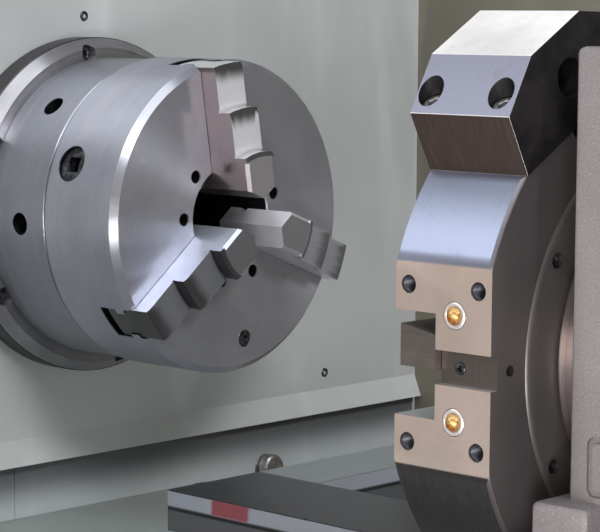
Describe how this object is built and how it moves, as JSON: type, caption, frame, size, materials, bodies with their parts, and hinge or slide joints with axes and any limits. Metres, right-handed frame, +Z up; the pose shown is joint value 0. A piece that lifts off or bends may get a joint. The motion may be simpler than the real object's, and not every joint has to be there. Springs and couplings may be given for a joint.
{
  "type": "cnc turning lathe",
  "caption": "Flat-bed CNC turning lathe with a scroll chuck, disc turret on a cross slide, tailstock, splash guards and a sliding front door.",
  "frame": {"origin": "on the floor under the spindle's axis, in the plane of the chuck's front face", "axes": "+X along the spindle from the chuck to the tailstock, +Y away from the operator, +Z up"},
  "size_m": [2.79, 1.1723, 1.4653],
  "materials": {
    "pale_paint": "satin grey-green paint",
    "dark_paint": "satin dark grey paint",
    "olive_paint": "worn olive grey paint",
    "casting": "machined and stained",
    "ground_steel": "ground",
    "turned_steel": "finely turned",
    "dark_steel": "blackened",
    "bright_steel": "polished",
    "belt_rubber": "matt",
    "black_plastic": "fine grain",
    "red_plastic": "gloss",
    "pane": "clear, lightly scratched"
  },
  "bodies": {
    "frame": {"left_pedestal": "dark_paint", "right_pedestal": "dark_paint", "chip_tray": "pale_paint", "lathe_bed": "pale_paint", "headstock": "casting", "front_spindle_bearing": "bright_steel", "rear_spindle_bearing": "bright_steel", "spindle_motor": "dark_paint", "drive_belt": "belt_rubber", "headstock_wall": "pale_paint", "recess_panel": "pale_paint", "headstock_cover": "pale_paint", "end_cover": "pale_paint", "left_screw_bearing": "casting", "right_screw_bearing": "casting", "z_servo_motor": "black_plastic", "rear_guard": "olive_paint", "right_guard": "pale_paint", "top_beam": "pale_paint", "operator_console": "dark_paint"},
    "spindle": {"spindle": "ground_steel", "spindle_pulley": "casting", "chuck_back_plate": "dark_steel", "chuck_body": "turned_steel", "chuck_rear_body": "turned_steel"},
    "motor_pulley": {"motor_pulley": "casting"},
    "scroll": {"chuck_scroll": "ground_steel"},
    "jaw_1": {"chuck_jaw_1": "turned_steel"},
    "jaw_2": {"chuck_jaw_2": "turned_steel"},
    "jaw_3": {"chuck_jaw_3": "turned_steel"},
    "pinion_1": {"chuck_pinion_1": "dark_steel"},
    "pinion_2": {"chuck_pinion_2": "dark_steel"},
    "pinion_3": {"chuck_pinion_3": "dark_steel"},
    "saddle": {"saddle": "casting", "apron": "pale_paint", "x_servo_motor": "black_plastic"},
    "z_screw": {"z_screw": "ground_steel"},
    "cross_slide": {"cross_slide": "casting", "turret_housing": "casting", "turret_bearing_ring": "turned_steel", "turret_motor": "dark_paint"},
    "x_screw": {"x_screw": "ground_steel"},
    "turret_disc": {"turret_disc": "dark_steel", "boring_bar_holder": "bright_steel", "tool_wedge_1": "dark_steel", "tool_wedge_3": "dark_steel", "tool_wedge_4": "dark_steel", "tool_wedge_5": "dark_steel", "tool_wedge_6": "dark_steel"},
    "tailstock": {"tailstock_base": "casting", "tailstock_body": "pale_paint"},
    "quill": {"quill": "ground_steel"},
    "quill_handwheel": {"quill_screw": "ground_steel", "tailstock_handwheel": "dark_steel"},
    "live_centre": {"live_centre": "bright_steel"},
    "quill_clamp_lever": {"quill_clamp_lever": "dark_steel"},
    "door": {"sliding_door": "pale_paint", "door_window": "pane", "door_handle": "black_plastic"},
    "emergency_stop": {"emergency_stop": "red_plastic"}
  },
  "joints": [
    {"name": "spindle_turn", "type": "hinge", "parent": "frame", "child": "spindle", "pos_m": [0, 0, 1.05], "axis": [1, 0, 0], "continuous": true},
    {"name": "motor_pulley_turn", "type": "hinge", "parent": "frame", "child": "motor_pulley", "pos_m": [-0.685, 0.29, 0.735], "axis": [1, 0, 0], "continuous": true},
    {"name": "scroll_turn", "type": "hinge", "parent": "spindle", "child": "scroll", "pos_m": [0, 0, 1.05], "axis": [1, 0, 0], "range_deg": [-360, 432]},
    {"name": "jaw_1_slide", "type": "slide", "parent": "spindle", "child": "jaw_1", "axis": [0, -0.1564, 0.9877], "range_m": [-0.0125, 0.0105]},
    {"name": "jaw_2_slide", "type": "slide", "parent": "spindle", "child": "jaw_2", "axis": [0, -0.7771, -0.6293], "range_m": [-0.0125, 0.0105]},
    {"name": "jaw_3_slide", "type": "slide", "parent": "spindle", "child": "jaw_3", "axis": [0, 0.9336, -0.3584], "range_m": [-0.0125, 0.0105]},
    {"name": "pinion_1_turn", "type": "hinge", "parent": "spindle", "child": "pinion_1", "pos_m": [-0.0574, 0, 1.05], "axis": [0, -0.9336, 0.3584], "range_deg": [-3600, 3000]},
    {"name": "pinion_2_turn", "type": "hinge", "parent": "spindle", "child": "pinion_2", "pos_m": [-0.0574, 0, 1.05], "axis": [0, 0.1564, -0.9877], "range_deg": [-3600, 3000]},
    {"name": "pinion_3_turn", "type": "hinge", "parent": "spindle", "child": "pinion_3", "pos_m": [-0.0574, 0, 1.05], "axis": [0, 0.7771, 0.6293], "range_deg": [-3600, 3000]},
    {"name": "saddle_slide", "type": "slide", "parent": "frame", "child": "saddle", "axis": [1, 0, 0], "range_m": [-0.45, 0.05]},
    {"name": "z_screw_turn", "type": "hinge", "parent": "frame", "child": "z_screw", "pos_m": [0.9, -0.205, 0.78], "axis": [1, 0, 0], "range_deg": [-16300, 1900]},
    {"name": "cross_slide_travel", "type": "slide", "parent": "saddle", "child": "cross_slide", "axis": [0, 1, 0], "range_m": [-0.02, 0.165]},
    {"name": "x_screw_turn", "type": "hinge", "parent": "saddle", "child": "x_screw", "pos_m": [0.866, 0, 0.9103], "axis": [0, 1, 0], "range_deg": [-1500, 11900]},
    {"name": "turret_index", "type": "hinge", "parent": "cross_slide", "child": "turret_disc", "pos_m": [0.5917, -0.3495, 1.05], "axis": [1, 0, 0], "continuous": true},
    {"name": "tailstock_slide", "type": "slide", "parent": "frame", "child": "tailstock", "axis": [1, 0, 0], "range_m": [-0.1, 0.1]},
    {"name": "quill_slide", "type": "slide", "parent": "tailstock", "child": "quill", "axis": [1, 0, 0], "range_m": [-0.1, 0]},
    {"name": "handwheel_turn", "type": "hinge", "parent": "tailstock", "child": "quill_handwheel", "pos_m": [1.6, 0, 1.05], "axis": [1, 0, 0], "range_deg": [-7300, 60]},
    {"name": "live_centre_turn", "type": "hinge", "parent": "quill", "child": "live_centre", "pos_m": [1.3, 0, 1.05], "axis": [1, 0, 0], "continuous": true},
    {"name": "clamp_lever_turn", "type": "hinge", "parent": "tailstock", "child": "quill_clamp_lever", "pos_m": [1.4, 0, 1.11], "axis": [0, 0, 1], "range_deg": [0, 60]},
    {"name": "door_slide", "type": "slide", "parent": "frame", "child": "door", "axis": [1, 0, 0], "range_m": [0, 0.565]},
    {"name": "emergency_stop_press", "type": "slide", "parent": "frame", "child": "emergency_stop", "axis": [0, 1, 0], "range_m": [0, 0.006]}
  ],
  "couplings": [
    {"joint": "motor_pulley_turn", "follows": "spindle_turn", "ratio": 1.5455},
    {"joint": "jaw_1_slide", "follows": "scroll_turn", "m_per_rad": -0.0015915},
    {"joint": "jaw_2_slide", "follows": "scroll_turn", "m_per_rad": -0.0015915},
    {"joint": "jaw_3_slide", "follows": "scroll_turn", "m_per_rad": -0.0015915},
    {"joint": "pinion_1_turn", "follows": "scroll_turn", "ratio": -8},
    {"joint": "pinion_2_turn", "follows": "scroll_turn", "ratio": -8},
    {"joint": "pinion_3_turn", "follows": "scroll_turn", "ratio": -8},
    {"joint": "z_screw_turn", "follows": "saddle_slide", "rad_per_m": 628.32},
    {"joint": "x_screw_turn", "follows": "cross_slide_travel", "rad_per_m": 1256.6},
    {"joint": "handwheel_turn", "follows": "quill_slide", "rad_per_m": 1256.6}
  ]
}
